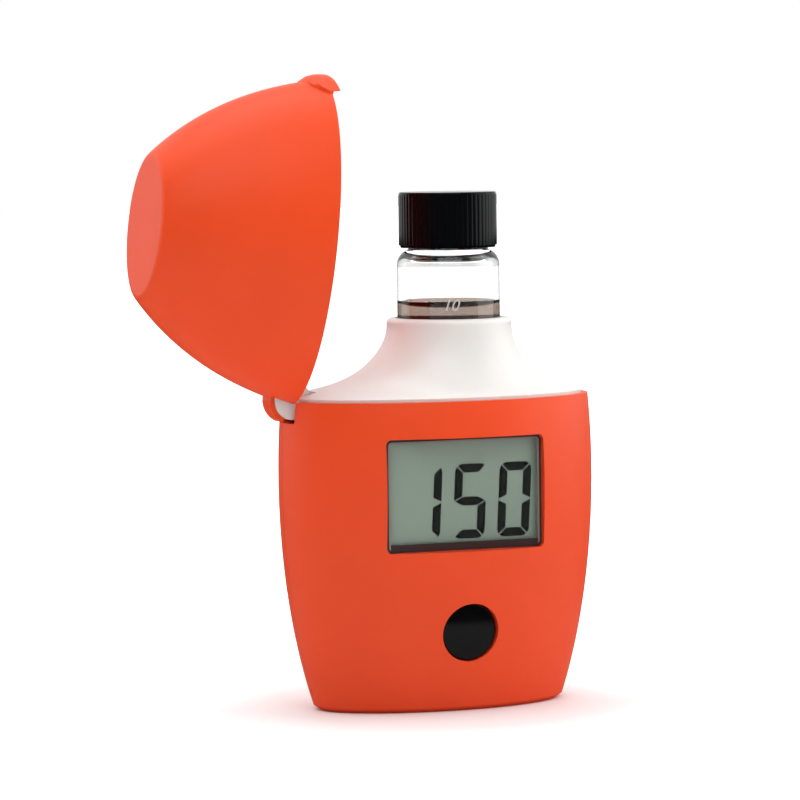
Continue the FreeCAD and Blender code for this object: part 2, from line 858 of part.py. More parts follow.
def sprung_seat():
    """Sprung floor of the well: a plate on a coil spring."""
    under = S["vial_base"] - S["seat_thickness"]
    plate = revolved("seat_plate", [
        (0, under), (vial_bore - S["fit_gap"], under),
        (vial_bore - S["fit_gap"], S["vial_base"]), (0, S["vial_base"]),
    ])
    sub_part("seat_plate", at(plate, S["vial_offset"]))

    wire = S["spring_wire"].value
    low = (S["well_floor"] + S["floor_thickness"]).value + wire / 2
    high = under.value - wire / 2
    radius = S["spring_radius"].value
    steps = 16
    count = int(S["spring_turns"].value * steps)
    sections = []
    for i in range(count + 1):
        angle = 2 * math.pi * i / steps
        outward = V(math.cos(angle), math.sin(angle), 0)
        middle = outward * radius + V(S["vial_offset"].value, 0, low + (high - low) * i / count)
        corners = [
            middle + outward * (dx * wire / 2) + V(0, 0, dz * wire / 2)
            for dx, dz in ((-1, -1), (1, -1), (1, 1), (-1, 1), (-1, -1))
        ]
        sections.append(Part.makePolygon(corners))
    spring = doc.addObject("Part::Feature", "seat_spring")
    spring.Shape = Part.makeLoft(sections, True, True)
    sub_part("seat_spring", spring)


def display():
    """Clear window, frame, liquid crystal cell and its rubber contact strips."""
    x = -S["display_offset"]
    z = display_height
    gap = S["fit_gap"]
    wide, tall = S["window_width"] / 2, S["window_tall"] / 2
    margin = S["window_margin"]
    seat = S["seat_face"]
    window = padded("display_window", "XZ_Plane", S["window_flange"], rounded(
        x - wide - margin, z - tall - margin, x + wide + margin, z + tall + margin, S["window_corner"],
    ))
    raised = window.newObject("PartDesign::Pad", "raised")
    raised.Profile = add_sketch(window, "XZ_Plane", rounded(
        x - wide + gap, z - tall + gap, x + wide - gap, z + tall - gap, S["window_corner"],
    ))
    bind(raised, Length=S["window_flange"] + S["window_face"] - seat)
    window.Tip = raised
    back = -seat + S["window_flange"]
    sub_part("display_window", at(window, 0, back))

    half_wide, half_tall = S["lcd_wide"] / 2, S["lcd_tall"] / 2
    depth = S["frame_lip"] + S["lcd_thickness"]
    border = S["frame_border"]
    frame = padded("display_frame", "XZ_Plane", depth, rounded(
        x - wide - margin, z - tall - margin, x + wide + margin, z + tall + margin, S["window_corner"],
    ), rectangle(
        x - half_wide + border, z - half_tall + border, x + half_wide - border, z + half_tall - border,
    ))
    pocketed(frame, "XZ_Plane", S["lcd_thickness"], rectangle(
        x - half_wide - gap / 2, z - half_tall - gap / 2, x + half_wide + gap / 2, z + half_tall + gap / 2,
    ), reverse=True)
    sub_part("display_frame", at(frame, 0, back + depth))

    cell = padded("display_cell", "XZ_Plane", S["lcd_thickness"], rectangle(
        x - half_wide, z - half_tall, x + half_wide, z + half_tall,
    ))
    cell_back = back + depth
    sub_part("display_cell", at(cell, 0, cell_back))

    strip = S["zebra_width"]
    inset = 0.6
    strips = padded("contact_strips", "XZ_Plane", S["zebra_thickness"], rectangle(
        x - half_wide + 1, z + half_tall - inset - strip, x + half_wide - 1, z + half_tall - inset,
    ), rectangle(
        x - half_wide + 1, z - half_tall + inset, x + half_wide - 1, z - half_tall + inset + strip,
    ))
    strips_back = cell_back + S["zebra_thickness"]
    sub_part("contact_strips", at(strips, 0, strips_back))
    return strips_back


def main_board(front):
    """Circuit board behind the display, its controller and the switch dome."""
    half, foot = S["board_wide"] / 2, S["board_foot_wide"] / 2
    board = padded("circuit_board", "XZ_Plane", S["board_thickness"], [
        (-foot, S["board_bottom"]), (foot, S["board_bottom"]), (foot, S["board_step"]),
        (half, S["board_step"]), (half, board_top), (-half, board_top),
        (-half, S["board_step"]), (-foot, S["board_step"]),
    ])
    sub_part("circuit_board", at(board, 0, front + S["board_thickness"]))

    side = S["chip_side"] / 2
    chip = padded("controller_chip", "XZ_Plane", S["chip_thickness"], rectangle(
        -side, chip_height - side, side, chip_height + side,
    ))
    pocketed(chip, "XZ_Plane", S["chip_thickness"] / 3, [
        (-side, chip_height + side - 0.6), (-side + 0.6, chip_height + side),
        (-side, chip_height + side),
    ], reverse=True)
    sub_part("controller_chip", at(chip, 0, front))

    radius, height = S["dome_radius"], S["dome_height"]
    thin = 0.12
    dome = revolved("switch_dome", [
        (radius - 0.3, 0), (radius, 0), (radius * 0.45, height), (0, height),
        (0, height - thin), (radius * 0.42, height - thin),
    ])
    dome.Placement = FreeCAD.Placement(V(0, 0, 0), FreeCAD.Rotation(V(1, 0, 0), 90))
    sub_part("switch_dome", at(dome, 0, front, S["button_height"]))


def button_place(along, turn=0):
    """Place on the button's axis, from its front face inwards; turned about X to lie on it."""
    tilt = FreeCAD.Rotation(V(1, 0, 0), S["button_tilt"].value)
    face = V(0, -S["button_face"].value, S["button_height"].value)
    lay = FreeCAD.Rotation(V(1, 0, 0), S["button_tilt"].value + turn)
    return FreeCAD.Placement(face.add(tilt.multVec(V(0, along, 0))), lay)


def button(board):
    """Round push button with a flange that keeps it inside the shell."""
    r = S["button_radius"]
    crown = S["button_crown"]
    stem = S["button_stem"]
    flange = S["button_flange"]
    wall = S["button_flange_wall"]
    edge = 0.3
    room = S["button_face"] - stem - wall + board - S["dome_height"]
    nub = room - S["button_travel"] - S["film"]
    cap = revolved("button_cap", [
        (0, -nub), (S["nub_radius"], -nub), (S["nub_radius"], 0), (flange, 0), (flange, wall), (r, wall),
        (r, stem + wall - edge - crown), (r - edge, stem + wall - crown, crown_radius(r - edge, crown)),
        (0, stem + wall),
    ])
    cap.Placement = button_place((stem + wall).value, 90)
    sub_part("button_cap", cap)


def battery_bay():
    """Cell, its cradle and contacts, and the coin-slot cover in the base."""
    x = -S["battery_offset"]
    head_top = S["cover_recess"] + S["cover_head"]
    step = head_top + S["seal_thickness"]
    neck_top = step + S["cover_neck_height"]
    cover = revolved("cover_turned", [
        (0, S["cover_recess"]), (S["cover_radius"], S["cover_recess"]), (S["cover_radius"], head_top),
        (S["cover_neck"], head_top), (S["cover_neck"], neck_top), (0, neck_top),
    ])
    slot = box(
        "coin_slot",
        (x - S["slot_length"] / 2, -S["slot_width"] / 2, -1),
        (x + S["slot_length"] / 2, S["slot_width"] / 2, S["cover_recess"] + S["slot_depth"]),
    )
    sub_part("battery_cover", cut("cover_slotted", at(cover, x), slot))
    seal = revolved("cover_seal", rectangle(S["cover_neck"] + 0.08, head_top, S["cover_radius"] - 0.1, step))
    sub_part("cover_seal", at(seal, x))

    foot = neck_top + S["contact_thickness"]
    contact = revolved("negative_contact", rectangle(0, neck_top, S["contact_radius"], foot))
    sub_part("negative_contact", at(contact, x))
    r = S["battery_radius"]
    top = foot + S["battery_length"]
    tip_radius = S["tip_radius"]
    crimp = S["cell_crimp"]
    cell = revolved("battery_cell", [
        (0, foot), (r - crimp, foot), (r, foot + crimp), (r, top - crimp), (r - crimp, top),
        (tip_radius, top), (tip_radius, top + S["tip_height"]), (0, top + S["tip_height"]),
    ])
    sub_part("battery_cell", at(cell, x))

    tip = top + S["tip_height"]
    plate = revolved("positive_contact", rectangle(0, tip, S["contact_radius"], tip + S["contact_thickness"]))
    sub_part("positive_contact", at(plate, x))

    bore = r + S["cell_gap"]
    outer = bore + S["cell_wall"]
    ceiling = tip + S["contact_thickness"]
    tube = cylinder("cradle_tube", outer, ceiling + S["cell_wall"] - neck_top, x, 0, neck_top)
    inner = cylinder("cradle_bore", bore, ceiling - neck_top, x, 0, neck_top)
    side = box("cradle_side", (x - FAR, -FAR, 0), (x - 1.5, FAR, FAR))
    sub_part("battery_cradle", cut("cradle", tube, inner, side))


def check(things):
    """Stops the script if anything in the document has failed."""
    doc.recompute()
    for thing in doc.Objects:
        if "Invalid" in thing.State or "Error" in thing.State:
            raise RuntimeError(f"{thing.Name} ({thing.Label}) failed: {thing.State}")
    for thing in things:
        if thing.Shape.isNull() or not thing.Shape.isValid() or not thing.Shape.Solids:
            raise RuntimeError(f"{thing.Label} has no valid solid")


def write(things):
    os.makedirs("parts", exist_ok=True)
    for thing in things:
        thing.Shape.exportStep(os.path.join("parts", f"{thing.Label}.step"))
        box_size = thing.Shape.BoundBox
        print(
            f"{thing.Label:18s} solids {len(thing.Shape.Solids)} volume {thing.Shape.Volume:9.1f}"
            f" x {box_size.XMin:7.2f} {box_size.XMax:7.2f} y {box_size.YMin:7.2f} {box_size.YMax:7.2f}"
            f" z {box_size.ZMin:7.2f} {box_size.ZMax:7.2f}"
        )


housing_shells()
case_screws()
collar()
lid()
vial()
well()
optics()
sprung_seat()
board_front = display()
main_board(board_front)
button(board_front)
battery_bay()
check(PARTS)
write(PARTS)
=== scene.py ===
"""Looks of the pocket colorimeter: lid open, vial standing in the collar, on a pale floor.

The frame and Blender use metres. Lengths below are in millimetres and go through mm(),
except in the stage at the end, which is in metres.
"""
import json
import math

import bpy
from mathutils import Matrix, Vector


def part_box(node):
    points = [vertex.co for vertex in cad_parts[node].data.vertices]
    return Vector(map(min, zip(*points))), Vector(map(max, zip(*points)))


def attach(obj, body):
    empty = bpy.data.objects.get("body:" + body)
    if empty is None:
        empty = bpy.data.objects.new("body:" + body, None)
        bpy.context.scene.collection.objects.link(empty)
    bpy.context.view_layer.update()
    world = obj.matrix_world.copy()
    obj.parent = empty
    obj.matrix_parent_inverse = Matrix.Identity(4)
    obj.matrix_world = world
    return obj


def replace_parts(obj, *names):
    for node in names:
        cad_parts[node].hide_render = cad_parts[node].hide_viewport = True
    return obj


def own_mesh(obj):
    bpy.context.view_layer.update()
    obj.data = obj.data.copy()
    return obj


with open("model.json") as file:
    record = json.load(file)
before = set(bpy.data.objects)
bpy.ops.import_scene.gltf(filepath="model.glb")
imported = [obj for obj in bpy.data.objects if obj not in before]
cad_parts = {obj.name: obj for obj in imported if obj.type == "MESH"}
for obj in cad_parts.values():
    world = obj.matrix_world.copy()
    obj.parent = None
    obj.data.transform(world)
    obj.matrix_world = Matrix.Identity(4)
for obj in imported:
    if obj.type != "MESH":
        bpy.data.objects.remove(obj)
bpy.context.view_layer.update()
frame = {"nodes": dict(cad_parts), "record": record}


def mm(value):
    return value / 1000.0


# ------------------------------------------------------------------- nodes

def new_node(tree, kind, inputs=None, **settings):
    """A new node with its settings and with values for its inputs."""
    node = tree.nodes.new(kind)
    for key, value in settings.items():
        setattr(node, key, value)
    for key, value in (inputs or {}).items():
        node.inputs[key].default_value = value
    return node


def ranged(tree, source, start, end, low, high, kind="LINEAR"):
    """Maps a value between start and end to one between low and high."""
    limits = {"From Min": start, "From Max": end, "To Min": low, "To Max": high}
    spread = new_node(tree, "ShaderNodeMapRange", limits, interpolation_type=kind)
    tree.links.new(source, spread.inputs["Value"])
    return spread.outputs["Result"]


def mixed(tree, share, first, second):
    """The first shader where the share is 0, the second where it is 1."""
    mix = new_node(tree, "ShaderNodeMixShader")
    for source, target in ((share, "Fac"), (first, 1), (second, 2)):
        tree.links.new(source, mix.inputs[target])
    return mix.outputs["Shader"]


def compared(tree, first, second, operation):
    """One arithmetic step on two values, kept between 0 and 1."""
    step = new_node(tree, "ShaderNodeMath", operation=operation, use_clamp=True)
    tree.links.new(first, step.inputs[0])
    tree.links.new(second, step.inputs[1])
    return step.outputs["Value"]


# ---------------------------------------------------------------- materials

BLOTCHES = 60.0
BLOTCH_FROM, BLOTCH_TO = 0.35, 0.65
LIGHT_DEPTH, RELIEF = 1.5, 0.05


def new_material(name):
    mat = bpy.data.materials.new(name)
    mat.use_nodes = True
    return mat, mat.node_tree, mat.node_tree.nodes["Principled BSDF"]


def object_noise(tree, scale, detail=3.0):
    """Object-space noise that every surface here draws its small variations from."""
    place = new_node(tree, "ShaderNodeTexCoord")
    noise = new_node(tree, "ShaderNodeTexNoise", {"Scale": scale, "Detail": detail})
    tree.links.new(place.outputs["Object"], noise.inputs["Vector"])
    return noise.outputs["Fac"]


def two_tone(tree, shader, noise, dark, light, start=0.0, end=1.0):
    """Base colour that wanders between two close tones with the noise."""
    ramp = new_node(tree, "ShaderNodeValToRGB")
    low, high = ramp.color_ramp.elements
    low.color, high.color = (*dark, 1), (*light, 1)
    low.position, high.position = start, end
    tree.links.new(noise, ramp.inputs["Fac"])
    tree.links.new(ramp.outputs["Color"], shader.inputs["Base Color"])


def plastic(name, color, roughness=0.4, vary=0.04, grain=2500.0, bump=0.02, specular=0.5,
            subsurface=0.0):
    """Moulded plastic or paint: a slightly uneven colour and a fine grain."""
    mat, tree, shader = new_material(name)
    shader.inputs["Roughness"].default_value = roughness
    shader.inputs["Specular IOR Level"].default_value = specular
    shader.inputs["Subsurface Weight"].default_value = subsurface
    shader.inputs["Subsurface Scale"].default_value = mm(LIGHT_DEPTH)
    dark = [c * (1 - vary) for c in color]
    light = [min(1.0, c * (1 + vary)) for c in color]
    two_tone(tree, shader, object_noise(tree, BLOTCHES), dark, light, BLOTCH_FROM, BLOTCH_TO)
    if bump:
        relief = new_node(tree, "ShaderNodeBump", {"Strength": bump, "Distance": mm(RELIEF)})
        tree.links.new(object_noise(tree, grain, 2.0), relief.inputs["Height"])
        tree.links.new(relief.outputs["Normal"], shader.inputs["Normal"])
    return mat


def metal(name, color, roughness=0.3, grain=900.0):
    """Drawn or plated metal with a faint grain in its colour and its polish."""
    mat, tree, shader = new_material(name)
    shader.inputs["Metallic"].default_value = 1.0
    noise = object_noise(tree, grain)
    two_tone(tree, shader, noise, [c * 0.9 for c in color], color)
    polish = ranged(tree, noise, 0.0, 1.0, roughness * 0.8, roughness * 1.2)
    tree.links.new(polish, shader.inputs["Roughness"])
    return mat


def clear(name, color, ior=1.5):
    """Clear glass, liquid or acrylic, tinted very slightly."""
    mat, tree, shader = new_material(name)
    shader.inputs["Transmission Weight"].default_value = 1.0
    shader.inputs["IOR"].default_value = ior
    shader.inputs["Roughness"].default_value = 0.0
    two_tone(tree, shader, object_noise(tree, 30.0), [c * 0.995 for c in color], color)
    return mat


ORANGE = (0.86, 0.07, 0.013)
LID_ORANGE = (0.87, 0.072, 0.013)
MATERIALS = {
    "housing_orange": plastic("housing_orange", ORANGE, 0.42, vary=0.02, bump=0.03, specular=0.28),
    "lid_orange": plastic("lid_orange", LID_ORANGE, 0.42, vary=0.02, bump=0.03, specular=0.22),
    "cover_orange": plastic("cover_orange", ORANGE, 0.45, vary=0.03, bump=0.03),
    "white_plastic": plastic("white_plastic", (0.84, 0.82, 0.79), 0.32, vary=0.01, bump=0.01,
                             subsurface=0.15),
    "cap_black": plastic("cap_black", (0.0025, 0.003, 0.0035), 0.1, vary=0.1, bump=0.0,
                         specular=0.1),
    "liner_white": plastic("liner_white", (0.8, 0.8, 0.76), 0.7),
    "glass": clear("glass", (0.88, 0.89, 0.885), ior=1.45),
    "sample": clear("sample", (0.31, 0.235, 0.195), ior=1.33),
    "mark_white": plastic("mark_white", (0.6, 0.57, 0.54), 0.6),
    "black_plastic": plastic("black_plastic", (0.015, 0.015, 0.016), 0.5),
    "lamp_clear": plastic("lamp_clear", (0.6, 0.65, 0.6), 0.15),
    "filter_glass": plastic("filter_glass", (0.05, 0.3, 0.12), 0.1),
    "sensor_dark": plastic("sensor_dark", (0.02, 0.02, 0.025), 0.2),
    "board_green": plastic("board_green", (0.01, 0.13, 0.05), 0.4, vary=0.15),
    "chip_black": plastic("chip_black", (0.02, 0.02, 0.022), 0.55),
    "dome_steel": metal("dome_steel", (0.6, 0.6, 0.6)),
    "seat_grey": plastic("seat_grey", (0.08, 0.08, 0.08), 0.6),
    "spring_steel": metal("spring_steel", (0.55, 0.55, 0.56)),
    "steel": metal("steel", (0.5, 0.5, 0.5), 0.35),
    "window_clear": clear("window_clear", (0.97, 0.99, 0.98), ior=1.2),
    # painted highlight: this pale grey stands for light caught on the window's bevelled edge
    "window_edge": plastic("window_edge", (0.25, 0.22, 0.2), 0.25, bump=0.0),
    "frame_dark": plastic("frame_dark", (0.04, 0.022, 0.022), 0.5),
    "lcd_grey": plastic("lcd_grey", (0.19, 0.235, 0.195), 0.5, vary=0.03, bump=0.0, specular=0.2),
    "lcd_ink": plastic("lcd_ink", (0.001, 0.0018, 0.0012), 0.6, bump=0.0, specular=0.0),
    "rubber_grey": plastic("rubber_grey", (0.15, 0.15, 0.15), 0.7),
    "button_black": plastic("button_black", (0.0025, 0.0028, 0.003), 0.1, vary=0.1, bump=0.0),
    "seal_rubber": plastic("seal_rubber", (0.02, 0.02, 0.02), 0.7),
    "contact_metal": metal("contact_metal", (0.75, 0.73, 0.68), 0.2),
    "cell_jacket": plastic("cell_jacket", (0.08, 0.1, 0.2), 0.3),
}

slot_of = {part["node"]: part["material_slot"] for part in frame["record"]["subparts"]}
for name, node in frame["nodes"].items():
    node.data.materials.clear()
    node.data.materials.append(MATERIALS[slot_of[name]])


# ------------------------------------------------------------------- meshes


def add_mesh(name, points, faces, material, body, smooth=True):
    """A mesh piece with its material, riding on a body."""
    data = bpy.data.meshes.new(name)
    data.from_pydata([tuple(p) for p in points], [], faces)
    data.validate()
    data.update()
    if smooth:
        data.shade_smooth()
    piece = bpy.data.objects.new(name, data)
    bpy.context.scene.collection.objects.link(piece)
    data.materials.append(MATERIALS[material])
    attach(piece, body)
    return piece


def arc(centre_r, centre_z, radius, start, end, count=8):
    """Points of a profile's round stretch; angles in degrees, 0 outwards and 90 up."""
    turns = [math.radians(start + (end - start) * i / count) for i in range(count + 1)]
    return [(centre_r + radius * math.cos(t), centre_z + radius * math.sin(t)) for t in turns]


def lathe(name, profile, centre_x, material, body, around=160, closed=False, radius_at=None,
          place=None):
    """Turns a profile of (radius, height) in mm about an upright axis through centre_x.

    closed joins the profile's end to its start, radius_at changes the radius by angle, and
    place is a matrix in metres that moves the finished points.
    """
    points, faces, rows = [], [], []
    for r, z in profile:
        if r < 1e-6:
            rows.append([len(points)])
            points.append((mm(centre_x), 0.0, mm(z)))
            continue
        row = []
        for i in range(around):
            angle = 2 * math.pi * i / around
            reach = radius_at(r, z, angle) if radius_at else r
            row.append(len(points))
            across, along = reach * math.cos(angle), reach * math.sin(angle)
            points.append((mm(centre_x + across), mm(along), mm(z)))
        rows.append(row)
    pairs = list(zip(rows, rows[1:]))
    if closed:
        pairs.append((rows[-1], rows[0]))
    for low, high in pairs:
        if len(low) == len(high) == 1:
            continue
        for i in range(around):
            j = (i + 1) % around
            if len(low) == 1:
                faces.append((low[0], high[j], high[i]))
            elif len(high) == 1:
                faces.append((low[i], low[j], high[0]))
            else:
                faces.append((low[i], low[j], high[j], high[i]))
    if place:
        points = [place @ Vector(p) for p in points]
    return add_mesh(name, points, faces, material, body)


def creased(piece, angle):
    """Keeps edges sharper than an angle crisp."""
    piece.data.set_sharp_from_angle(angle=math.radians(angle))
    return piece


def box_outline(left, right, low, high):
    return [(left, low), (right, low), (right, high), (left, high)]


def slab(name, outline, front, back, material, body):
    """A plate between two depths from an outline of (x, z) in mm."""
    count = len(outline)
    points = [(mm(x), mm(y), mm(z)) for y in (front, back) for x, z in outline]
    faces = [tuple(range(count)), tuple(range(2 * count - 1, count - 1, -1))]
    faces += [(i, i + count, (i + 1) % count + count, (i + 1) % count) for i in range(count)]
    return add_mesh(name, points, faces, material, body, smooth=False)


# --------------------------------------------------------------------- vial

VIAL_X = 2.75
VIAL_FOOT, VIAL_RADIUS = 24.5, 9.27
GLASS_WALL, GLASS_FLOOR, HEEL = 0.85, 1.5, 0.8
BORE = VIAL_RADIUS - GLASS_WALL
FLOOR_Z = VIAL_FOOT + GLASS_FLOOR
SHOULDER, SHOULDER_Z = 2.9, 79.4
INNER_SHOULDER, INNER_SHOULDER_Z = 1.7, 79.2
NECK_RADIUS, NECK_BORE, NECK_TOP, NECK_ROUND = 7.3, 6.15, 90.9, 0.2
THREAD_FOOT, THREAD_STEP, THREAD_POINTS = 83.2, 0.3, 25
THREAD_PITCH, THREAD_CREST, THREAD_DEPTH = 2.4, 83.8, 0.12
LIQUID_LEVEL, MENISCUS = 71.7, 1.3
# the liquid reaches this far into the glass, so that no film of air lies between them
LAP = 0.06

# points close to a bend keep the smooth shading of the straight stretch straight
glass_outer = (
    [(0, VIAL_FOOT), (VIAL_RADIUS - HEEL, VIAL_FOOT)]
    + arc(VIAL_RADIUS - HEEL, VIAL_FOOT + HEEL, HEEL, -90, 0, 6)
    + [(VIAL_RADIUS, VIAL_FOOT + HEEL + 0.3), (VIAL_RADIUS, SHOULDER_Z - 0.25)]
    + arc(VIAL_RADIUS - SHOULDER, SHOULDER_Z, SHOULDER, 0, 72, 14)
    + [(NECK_RADIUS - 0.1, 82.45), (NECK_RADIUS - 0.12, 82.8)]
)


def thread_point(z):
    turn = 2 * math.pi * (z - THREAD_CREST) / THREAD_PITCH
    return NECK_RADIUS - 0.15 + THREAD_DEPTH * math.cos(turn), z


thread = [thread_point(THREAD_FOOT + i * THREAD_STEP) for i in range(THREAD_POINTS)]
glass_inner = (
    [(NECK_RADIUS, NECK_TOP - NECK_ROUND), (NECK_RADIUS - NECK_ROUND, NECK_TOP),
     (NECK_BORE + NECK_ROUND, NECK_TOP), (NECK_BORE, NECK_TOP - NECK_ROUND),
     (NECK_BORE, 83.2), (NECK_BORE + 0.1, 82.4), (NECK_BORE + 0.35, 81.7)]
    + arc(BORE - INNER_SHOULDER, INNER_SHOULDER_Z, INNER_SHOULDER, 78, 0, 12)
    + [(BORE, INNER_SHOULDER_Z - 0.25), (BORE, LIQUID_LEVEL + MENISCUS + 0.3),
       (BORE, FLOOR_Z + HEEL + 0.3)]
    + arc(BORE - HEEL, FLOOR_Z + HEEL, HEEL, 0, -90, 6)
    + [(0, FLOOR_Z)]
)
glass = lathe("vial_glass_turned", glass_outer + thread + glass_inner, VIAL_X, "glass", "vial")
creased(glass, 40)
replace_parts(glass, "vial_glass")

SURFACE_STEPS = (0.995, 0.98, 0.95, 0.9, 0.84, 0.76, 0.66, 0.55, 0.42, 0.28, 0.14)


def surface_point(share):
    """A point of the liquid's top at a share of the bore: it climbs up the glass."""
    climb = 0.4 * share ** 2 + 0.6 * share ** 5
    return BORE * share, LIQUID_LEVEL + MENISCUS * climb


liquid_profile = (
    [(0, FLOOR_Z - LAP), (BORE - HEEL, FLOOR_Z - LAP)]
    + arc(BORE - HEEL, FLOOR_Z + HEEL, HEEL + LAP, -90, 0, 6)
    + [(BORE + LAP, FLOOR_Z + HEEL + 0.3), (BORE + LAP, LIQUID_LEVEL + MENISCUS - 0.2),
       (BORE + LAP, LIQUID_LEVEL + MENISCUS)]
    + [surface_point(share) for share in SURFACE_STEPS]
    + [(0, LIQUID_LEVEL)]
)
liquid = lathe("sample_poured", liquid_profile, VIAL_X, "sample", "vial")
creased(liquid, 25)
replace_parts(liquid, "sample_liquid")

CAP_RADIUS, CAP_FOOT, CAP_TOP = 8.87, 82.5, 92.5
CAP_BORE, CAP_CEILING = NECK_RADIUS + 0.15, NECK_TOP + 0.6
SKIRT_RADIUS, CAP_EDGE = CAP_RADIUS - 0.28, 0.3
RIBS, RIB_DEPTH, STEPS_PER_RIB = 60, 0.07, 10
RIB_CREST = 1.6


def ribbed(r, z, angle):
    """Radius of the cap at an angle: grooves part the ribs on the side wall alone."""
    if r < CAP_RADIUS - 0.6 or not CAP_FOOT + 0.4 < z < CAP_TOP - 0.5:
        return r
    wave = 0.5 + 0.5 * math.cos(RIBS * angle)
    return r - RIB_DEPTH * (1 - min(1.0, wave * RIB_CREST))


cap_profile = (
    [(CAP_BORE, CAP_FOOT + 3), (CAP_BORE, CAP_FOOT), (CAP_RADIUS - 0.35, CAP_FOOT),
     (SKIRT_RADIUS, CAP_FOOT + 0.08), (SKIRT_RADIUS, CAP_FOOT + 0.38),
     (CAP_RADIUS, CAP_FOOT + 0.45), (CAP_RADIUS, CAP_TOP - 0.7)]
    + arc(CAP_RADIUS - 0.4, CAP_TOP - CAP_EDGE, CAP_EDGE, 0, 90, 5)
    + [(CAP_RADIUS - 1.6, CAP_TOP), (0, CAP_TOP), (0, CAP_CEILING), (CAP_BORE, CAP_CEILING)]
)
cap = lathe("vial_cap_ribbed", cap_profile, VIAL_X, "cap_black", "cap",
            around=RIBS * STEPS_PER_RIB, closed=True, radius_at=ribbed)
creased(cap, 50)
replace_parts(cap, "vial_cap")


# ------------------------------------------------------------ printed marks

PRINT_RADIUS, PRINT_SKIN = VIAL_RADIUS + 0.02, 0.03


def on_glass(turn, z):
    """A place on the vial's wall; the turn is in radians from the front towards +X."""
    return (mm(VIAL_X + PRINT_RADIUS * math.sin(turn)), mm(-PRINT_RADIUS * math.cos(turn)), mm(z))


def printed(name, points, faces, smooth):
    """A mark on the vial with a thin skin of its own."""
    piece = add_mesh(name, points, faces, "mark_white", "vial", smooth)
    skin = piece.modifiers.new("skin", "SOLIDIFY")
    skin.thickness = mm(PRINT_SKIN)
    skin.offset = 0.0


def printed_stripe(name, angle_from, angle_to, low, high, steps=24):
    """A stripe on the vial between two angles in degrees."""
    points = []
    for i in range(steps + 1):
        turn = math.radians(angle_from + (angle_to - angle_from) * i / steps)
        points += [on_glass(turn, low), on_glass(turn, high)]
    faces = [(2 * i, 2 * i + 2, 2 * i + 3, 2 * i + 1) for i in range(steps)]
    printed(name, points, faces, smooth=True)


def printed_text(name, text, size, angle, z, shear):
    """Text that starts at an angle in degrees and bends round the vial."""
    bpy.ops.object.text_add()
    source = bpy.context.object
    source.data.body = text
    source.data.size = size
    source.data.align_x = "LEFT"
    source.data.shear = shear
    bpy.context.view_layer.update()
    drawn = source.evaluated_get(bpy.context.evaluated_depsgraph_get())
    mesh = bpy.data.meshes.new_from_object(drawn)
    points = [on_glass(math.radians(angle) + v.co.x / PRINT_RADIUS, z + v.co.y)
              for v in mesh.vertices]
    faces = [tuple(p.vertices) for p in mesh.polygons]
    bpy.data.objects.remove(source)
    printed(name, points, faces, smooth=False)


printed_stripe("fill_line", -74, -46, 72.95, 73.15)
printed_text("fill_number", "10", size=2.9, angle=-29, z=71.45, shear=0.3)


# ------------------------------------------------------------------- spring

WIRE_RADIUS, TURNS, STEPS_PER_TURN, WIRE_SIDES = 0.25, 4.5, 40, 10
END_CLOSING = 0.85


def coil(name, node, material, body):
    """A round-wire spring with closed ends in the box of its CAD node."""
    low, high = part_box(node)
    centre_x, centre_y = (low[0] + high[0]) / 2, (low[1] + high[1]) / 2
    radius = (high[0] - low[0]) / 2 - mm(WIRE_RADIUS)
    foot, tall = low[2] + mm(WIRE_RADIUS), high[2] - low[2] - mm(2 * WIRE_RADIUS)
    count = int(TURNS * STEPS_PER_TURN)
    points, faces = [], []
    for i in range(count + 1):
        share = i / count
        turn = 2 * math.pi * TURNS * share
        rise = share - END_CLOSING * math.sin(2 * math.pi * share) / (2 * math.pi)
        for j in range(WIRE_SIDES):
            side = 2 * math.pi * j / WIRE_SIDES
            reach = radius + mm(WIRE_RADIUS) * math.cos(side)
            points.append((centre_x + reach * math.cos(turn), centre_y + reach * math.sin(turn),
                           foot + tall * rise + mm(WIRE_RADIUS) * math.sin(side)))
    for i in range(count):
        start, after = i * WIRE_SIDES, (i + 1) * WIRE_SIDES
        for j in range(WIRE_SIDES):
            k = (j + 1) % WIRE_SIDES
            faces.append((start + j, after + j, after + k, start + k))
    faces.append(tuple(range(WIRE_SIDES)))
    faces.append(tuple(range(len(points) - 1, len(points) - 1 - WIRE_SIDES, -1)))
    piece = add_mesh(name, points, faces, material, body)
    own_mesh(piece)
    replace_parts(piece, node)
    return piece


coil("seat_spring_coiled", "seat_spring", "spring_steel", "housing")


# ---------------------------------------------------------------------- lid

RIM_HALF_LONG, RIM_HALF_DEEP = 28.0, 16.9
TAB_HALF_DEEP, TAB_BOTTOM, TAB_TOP, TAB_REACH = 4.0, 111.95, 112.62, -24.7
SUNK_X, SUNK_Z = -21.9, 111.75
LIP_HALF_DEEP, LIP_STATIONS = 7.0, 28
LIP_OUTSIDE, LIP_THINNING, LIP_SHOULDER, LIP_LOWERING = -25.2, 3.0, 113.2, 0.8
LIP_SECTION = [
    (LIP_OUTSIDE, 111.9), (-24.6, 112.9), (-23.6, 113.5), (-22.4, 113.75), (-21.2, 113.75),
    (-20.5, 113.65), (-20.2, 113.45), (-20.45, 113.2), (-21.45, 113.15), (-21.8, 112.2),
    (-23.2, 111.9), (-24.9, 111.7),
]


def lid_without_tab():
    """A copy of the lid's mesh with the square tab sunk into its wall, under the curved lip."""
    data = frame["nodes"]["lid"].data.copy()
    for v in data.vertices:
        x, y, z = (1000 * value for value in v.co)
        on_edge = abs(abs(y) - TAB_HALF_DEEP) < 0.02 and x > TAB_REACH and z > TAB_BOTTOM
        if z > TAB_TOP or on_edge:
            v.co = (mm(min(x, SUNK_X)), mm(y), mm(SUNK_Z))
    piece = bpy.data.objects.new("lid_dressed", data)
    bpy.context.scene.collection.objects.link(piece)
    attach(piece, "lid_body")
    return piece


